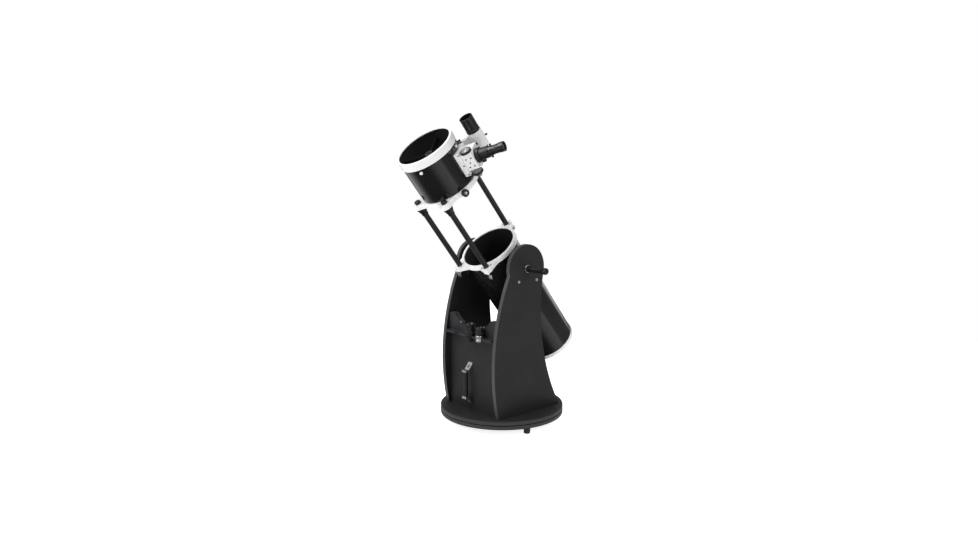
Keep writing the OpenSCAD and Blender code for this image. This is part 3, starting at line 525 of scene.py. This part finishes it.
def add_focuser_knobs(finishes):
    """The two focus knobs, the front one's cap, and the two-speed hub with its fine knob."""
    steel = finishes["turned_aluminium"]
    rearward = turned(shifted(FOCUSER, y=SHAFT_SIDE, z=SHAFT_HEIGHT), 90, "Y")
    front = shifted(rearward, z=-50)
    focus_knob("front_focus_knob", front, 10, finishes)
    focus_knob("rear_focus_knob", shifted(rearward, z=47), 10, finishes)
    lathe("focus_reducer_hub", [
        (4.1, 43.3), (12.6, 43.3), (13, 43.7), (13, 46), (12.4, 47), (4.1, 47),
    ], rearward, steel, "focus_shaft", hollow=True)
    fine = lathe("fine_focus_knob", [
        (0, 57), (9.5, 57), (9.5, 58.5), (10.4, 59), (11, 59.8), (11, 68.6), (10.2, 69.6),
        (5, 69.6), (4.4, 69), (0, 69),
    ], rearward, steel, "focus_shaft", ribs=30, depth=0.5)
    lathe("front_focus_cap", [
        (0, -0.6), (3, -0.6), (4.6, 0.2), (4.6, 2), (0, 2),
    ], front, steel, "focus_shaft")
    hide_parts("focus_knobs")


def add_focuser_screws(finishes):
    """Screws in both sides of the housing and in its base."""
    black = finishes["black_screw"]
    corners = ((-15, 167), (-15, 146), (20, 166), (20, 145))
    side = turned(shifted(FOCUSER, y=-HOUSING_SIDE), 90, "X")
    for i, (x, z) in enumerate((*corners, (3, 155))):
        screw(f"focuser_side_screw_{i}", shifted(side, x=x, y=z), 3.1, 1.2, black, "upper_cage")
    base = turned(shifted(FOCUSER, y=-40), 90, "X")
    for i, x in enumerate((-43, 5, 45)):
        place = shifted(base, x=x, y=HOUSING_BASE)
        screw(f"focuser_base_screw_{i}", place, 3.1, 1.2, black, "upper_cage")
    far_side = turned(shifted(FOCUSER, y=HOUSING_SIDE), -90, "X")
    for i, (x, z) in enumerate(corners):
        screw(f"focuser_far_screw_{i}", shifted(far_side, x=x, y=-z), 3.1, 1.2, black, "upper_cage")


def add_finder(finishes):
    """Finder scope: ribbed focusing ring, dew shade, objective, and eyepiece with its own ring."""
    plastic = finishes["black_plastic"]
    tube = lathe("finder_tube_body", [
        (0, 480), (17, 480), (18, 481), (18, 492), (24, 498), (24, 574), (0, 574),
    ], FINDER, finishes["finder_lacquer"], "finder")
    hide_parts("finder_tube")
    lathe("finder_focus_ring", [
        (23, 574.2), (26.4, 574.2), (27, 574.8), (27, 587.4), (26.4, 588), (23, 588),
    ], FINDER, plastic, "finder", hollow=True, ribs=48, depth=0.6)
    lathe("finder_lock_ring", [
        (23, 588.4), (25.6, 588.4), (26, 588.8), (26, 591.2), (25.6, 591.6), (23, 591.6),
    ], FINDER, plastic, "finder", hollow=True, ribs=30, depth=0.5)
    lathe("finder_dew_shade", [
        (22, 592), (25, 592), (26, 593), (26.6, 595), (26.6, 634), (26.8, 634.5), (26.8, 637),
        (26.2, 637.7), (25, 637.7), (24.4, 637), (24.4, 606), (22, 605),
    ], FINDER, finishes["eyepiece_black"], "finder", hollow=True)
    lathe("finder_objective", [
        (0, 600), (23, 600), (23, 602), (16, 603.4), (8, 604.2), (0, 604.5),
    ], FINDER, finishes["glass"], "finder")
    lathe("finder_eyepiece_ring", [
        (0, 466), (14, 466), (14.8, 466.6), (14.8, 479), (14, 480.4), (0, 480.4),
    ], FINDER, plastic, "finder", ribs=32, depth=0.5)
    lathe("finder_eyepiece_cup", [
        (0, 464), (8, 462.5), (9, 458.6), (10, 458), (13, 458), (13.8, 458.8), (13.8, 466.2),
        (0, 466.2),
    ], FINDER, finishes["rubber"], "finder")


def add_rack_eyepieces(finishes):
    """Two eyepieces that stand in the rack, the small one on a chrome shoulder, and the rack's screws."""
    x, y, z = RACK_HOLE
    wide = shifted(ROOM, x, y, z)
    small = shifted(wide, x=62, z=10)
    eyepiece(
        "stored_wide", wide, "rocker", 22.5, 50, 22.5, finishes, "eyepiece_black", "eyepiece_black")
    eyepiece("stored_small", small, "rocker", 17, 34, 16.5, finishes, "eyepiece_black")
    lathe("stored_small_shoulder", [
        (15.6, -10), (16.2, -10), (16.6, -9.5), (16.6, -0.6), (16.2, 0), (15.6, 0),
    ], small, finishes["chrome"], "rocker", hollow=True)
    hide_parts("stored_eyepieces")
    x, y, z = RACK_SCREW
    for i, side in enumerate((-1, 1)):
        place = turned(shifted(ROOM, side * x, y, z), 90, "X")
        screw(f"rack_screw_{i}", place, 3.4, 1.8, finishes["satin_steel"], "rocker")


def add_ring_details(finishes):
    """Screws beside each rod in the lower ring, and the cap of the upper ring's knob."""
    for k, angle in enumerate(ROD_ANGLES):
        for side in (-1, 1):
            place = around(TUBE, angle + side * RING_SCREW_TURN, RING_SCREW_REACH, LOWER_RING_TOP)
            screw(f"ring_screw_{k}_{side + 1}", place, 2.8, 1.6, finishes["black_screw"], "lower_tube")
    knob = turned(around(TUBE, RING_KNOB_ANGLE, 0, RING_KNOB_HEIGHT), 90, "Y")
    lathe("ring_knob_cap", [
        (0, 144.6), (6.5, 144.6), (6.5, 145.2), (5, 146.6), (2.5, 147.2), (0, 147.3),
    ], knob, finishes["turned_aluminium"], "ring_knob")


def add_springs(finishes):
    """The three springs that push the mirror cell off its backplate."""
    steel = finishes["spring_steel"]
    for i in range(3):
        place = around(TUBE, 90 + 120 * i, SPRING_REACH, SPRING_SEAT)
        spring = coil(f"collimation_spring_{i}", place, 6, 1.2, 12, 4, steel, "lower_tube")
        if i == 0:
            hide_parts("collimation_springs")


def add_feet(finishes):
    """Stepped rubber feet, each with a screw sunk in its sole."""
    steel = finishes["zinc_steel"]
    for i in range(3):
        place = around(ROOM, FOOT_ANGLE + 120 * i, FOOT_REACH)
        foot = lathe(f"foot_{i}", [
            (0, 6), (4.5, 6), (4.5, 0), (12.2, 0), (13, 0.8), (13.4, 9), (12.6, 9.6), (12.6, 11),
            (13.6, 11.6), (14.2, 23), (14, 24), (0, 24),
        ], place, finishes["rubber"], "ground_base")
        if i == 0:
            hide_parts("feet")
        sole = turned(shifted(place, z=6), 180, "X")
        screw(f"foot_screw_{i}", sole, 3.6, 2, steel, "ground_base")


def add_tension_handles(finishes):
    """A bright washer, and a ribbed grip that swells to a rounded end, on each side of the tube."""
    for name, side in (("right", 1), ("left", -1)):
        place = turned(Matrix.Translation(pivot), 90 * side, "Y")
        body = f"{name}_tension_handle"
        washer = lathe(f"{name}_washer", [
            (6.2, 171.4), (15.2, 171.4), (15.8, 172), (15.8, 173.2), (15.2, 173.8), (6.2, 173.8),
        ], place, finishes["chrome"], body, hollow=True)
        lathe(f"{name}_handle_grip", [
            (0, 173.6), (13.6, 173.6), (13.9, 174.4), (13.9, 181), (12.2, 184), (12.2, 250),
            (12.8, 262), (13.9, 266), (13.9, 274), (12.6, 278.4), (9, 279.3), (0, 279.3),
        ], place, finishes["grip_black"], body, ribs=28, depth=0.8, edge=0.3)
        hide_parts(f"{name}_tension_handle")


# ---- Camera, light and floor ----

def stand(thing, azimuth, elevation, distance, aim):
    """Stands a camera or light at this distance from the point that it faces."""
    a, e = math.radians(azimuth), math.radians(elevation)
    back = Vector((math.sin(a) * math.cos(e), -math.cos(a) * math.cos(e), math.sin(e)))
    thing.location = aim + back * distance
    thing.rotation_mode = "QUATERNION"
    thing.rotation_quaternion = (-back).to_track_quat("-Z", "Y")
    bpy.context.scene.collection.objects.link(thing)


def add_camera():
    camera = bpy.data.objects.new("camera", bpy.data.cameras.new("camera"))
    camera.data.sensor_width = CAMERA_SENSOR
    camera.data.lens = CAMERA_LENS
    stand(camera, *CAMERA_VIEW, CAMERA_AIM)
    bpy.context.scene.camera = camera


def add_softbox(name, azimuth, elevation, distance, size, power):
    light = bpy.data.lights.new(name, "AREA")
    light.shape = "RECTANGLE"
    light.size, light.size_y = size
    light.energy = power
    box = bpy.data.objects.new(name, light)
    box.visible_camera = False
    stand(box, azimuth, elevation, distance, LIGHT_AIM)


def add_world():
    """The studio's brightness by the height of the direction, but plain white to the camera."""
    world = bpy.data.worlds.new("studio")
    world.use_nodes = True
    tree = world.node_tree
    direction = add_node(tree, "ShaderNodeTexCoord").outputs["Generated"]
    parts = add_node(tree, "ShaderNodeSeparateXYZ", {"Vector": direction})
    height = add_node(tree, "ShaderNodeMapRange", {"Value": parts.outputs["Z"], "From Min": -1.0})
    ramp = add_node(tree, "ShaderNodeValToRGB", {"Fac": height.outputs["Result"]})
    stops = ramp.color_ramp.elements
    for place, strength in STUDIO:
        stops.new(place).color = grey(strength)
    for spare in (stops[-1], stops[0]):
        stops.remove(spare)
    seen = add_node(tree, "ShaderNodeLightPath").outputs["Is Camera Ray"]
    mix = add_node(tree, "ShaderNodeMix", {"Factor": seen, "A": ramp.outputs["Color"], "B": 1.0})
    shade = tree.nodes["Background"]
    shade.inputs["Color"].default_value = grey(1)
    tree.links.new(mix.outputs["Result"], shade.inputs["Strength"])
    bpy.context.scene.world = world


def add_floor():
    """A round floor that the object's glossy parts don't mirror."""
    mesh = bpy.data.meshes.new("floor")
    shape = bmesh.new()
    bmesh.ops.create_circle(shape, cap_ends=True, segments=96, radius=FLOOR_RADIUS)
    shape.to_mesh(mesh)
    shape.free()
    floor = bpy.data.objects.new("floor", mesh)
    floor.data.materials.append(plain_floor())
    bpy.context.scene.collection.objects.link(floor)
    floor.visible_glossy = False


# ---- The scene ----

bpy.context.scene.view_settings.view_transform = "Standard"
add_camera()
add_world()
add_floor()
add_softbox("key", -18, 42, 3.2, (2.2, 2.2), 92)
add_softbox("fill", 100, 28, 3.4, (1.6, 2.6), 34)
add_softbox("top", 30, 84, 3.0, (3.0, 3.0), 26)
add_softbox("back", 196, 6, 3.4, (1.8, 1.2), 5)

finishes = make_materials()
dress_nodes(finishes)
add_focuser_knobs(finishes)
add_focuser_screws(finishes)
eyepiece("main_eyepiece", shifted(FOCUSER, z=EYEPIECE_SEAT), "drawtube", 17.5, 48, 19.5, finishes)
add_finder(finishes)
add_rack_eyepieces(finishes)
add_ring_details(finishes)
add_springs(finishes)
add_feet(finishes)
add_tension_handles(finishes)
